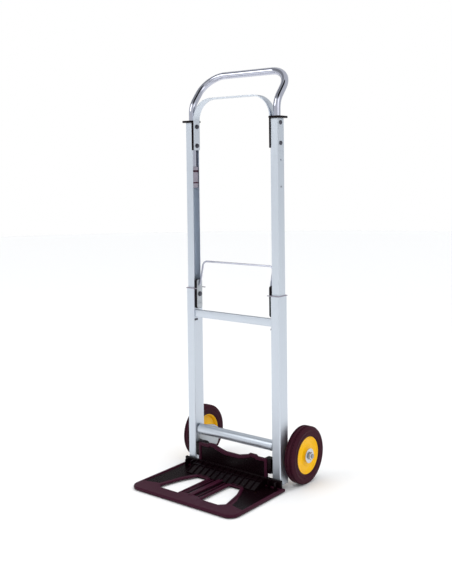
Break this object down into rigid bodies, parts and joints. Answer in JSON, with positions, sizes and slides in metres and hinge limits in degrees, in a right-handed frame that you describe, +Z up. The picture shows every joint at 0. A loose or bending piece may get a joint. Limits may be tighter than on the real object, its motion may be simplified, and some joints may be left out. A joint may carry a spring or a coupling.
{
  "type": "folding hand truck",
  "caption": "Folding two-wheel hand truck with a telescopic frame, bent tube handle, hinged toe plate and release bail",
  "frame": {"origin": "centre of the bounding box's bottom, on the floor", "axes": "+Z up, -Y towards the toe plate and the load, +X to the right as seen from the load side"},
  "size_m": [0.3992, 0.382, 1.0958],
  "materials": {
    "aluminium": "satin silver",
    "chrome": "bright chrome plating",
    "zinc": "zinc plated, satin",
    "steel": "bright drawn steel",
    "black_plastic": "moulded, semi-gloss",
    "grey_plastic": "moulded, matt",
    "tyre": "moulded rubber",
    "yellow_plastic": "moulded, semi-gloss",
    "nylon": "natural nylon"
  },
  "bodies": {
    "frame": {"upright_left": "aluminium", "upright_right": "aluminium", "top_cap_left": "grey_plastic", "top_cap_right": "grey_plastic", "axle_plate_left": "zinc", "axle_plate_right": "zinc", "plate_rivet_front_left": "zinc", "plate_rivet_front_right": "zinc", "plate_rivet_rear_left": "zinc", "plate_rivet_rear_right": "zinc", "toe_pivot_pin_left": "zinc", "toe_pivot_pin_right": "zinc", "lever_bolt_left": "zinc", "lever_bolt_right": "zinc", "axle_spacer_left": "zinc", "axle_spacer_right": "zinc", "axle_washer_left": "zinc", "axle_washer_right": "zinc", "axle_nut_left": "zinc", "axle_nut_right": "zinc", "upper_crossbar": "aluminium", "lower_crossbar": "aluminium", "axle": "steel"},
    "mid_frame": {"mid_channel_left": "aluminium", "mid_channel_right": "aluminium", "slider_shoe_left": "black_plastic", "slider_shoe_right": "black_plastic", "tube_plug_left": "black_plastic", "tube_plug_right": "black_plastic", "collar_left": "black_plastic", "collar_right": "black_plastic", "clamp_bolt_upper_left": "zinc", "clamp_bolt_upper_right": "zinc", "clamp_bolt_lower_left": "zinc", "clamp_bolt_lower_right": "zinc", "clamp_nut_upper_left": "zinc", "clamp_nut_upper_right": "zinc", "clamp_nut_lower_left": "zinc", "clamp_nut_lower_right": "zinc", "handle_tube": "chrome", "arch_strip": "aluminium"},
    "release_bail": {"bail_wire": "chrome", "lock_lever_left": "zinc", "lock_lever_right": "zinc"},
    "lock_pin_left": {"lock_pin_left": "steel"},
    "lock_pin_right": {"lock_pin_right": "steel"},
    "toe_plate": {"toe_plate": "black_plastic"},
    "wheel_left": {"tyre_left": "tyre", "rim_left": "yellow_plastic", "wheel_bush_left": "nylon"},
    "wheel_right": {"tyre_right": "tyre", "rim_right": "yellow_plastic", "wheel_bush_right": "nylon"}
  },
  "joints": [
    {"name": "mid_slide", "type": "slide", "parent": "frame", "child": "mid_frame", "axis": [0, 0, -1], "range_m": [0, 0.345]},
    {"name": "bail_pivot", "type": "hinge", "parent": "frame", "child": "release_bail", "pos_m": [0, 0.046, 0.485], "axis": [-1, 0, 0], "range_deg": [0, 20], "stiffness_Nm_per_rad": 0.3, "springref_deg": -17.19},
    {"name": "lock_pin_left_slide", "type": "slide", "parent": "frame", "child": "lock_pin_left", "axis": [1, 0, 0], "range_m": [0, 0.0025]},
    {"name": "lock_pin_right_slide", "type": "slide", "parent": "frame", "child": "lock_pin_right", "axis": [-1, 0, 0], "range_m": [0, 0.0025]},
    {"name": "toe_fold", "type": "hinge", "parent": "frame", "child": "toe_plate", "pos_m": [0, 0.049, 0.054], "axis": [-1, 0, 0], "range_deg": [0, 90]},
    {"name": "wheel_left_spin", "type": "hinge", "parent": "frame", "child": "wheel_left", "pos_m": [-0.172, 0.116, 0.075], "axis": [1, 0, 0], "continuous": true},
    {"name": "wheel_right_spin", "type": "hinge", "parent": "frame", "child": "wheel_right", "pos_m": [0.172, 0.116, 0.075], "axis": [1, 0, 0], "continuous": true}
  ],
  "couplings": [
    {"joint": "lock_pin_left_slide", "follows": "bail_pivot", "m_per_rad": 0.00716},
    {"joint": "lock_pin_right_slide", "follows": "bail_pivot", "m_per_rad": 0.00716}
  ]
}
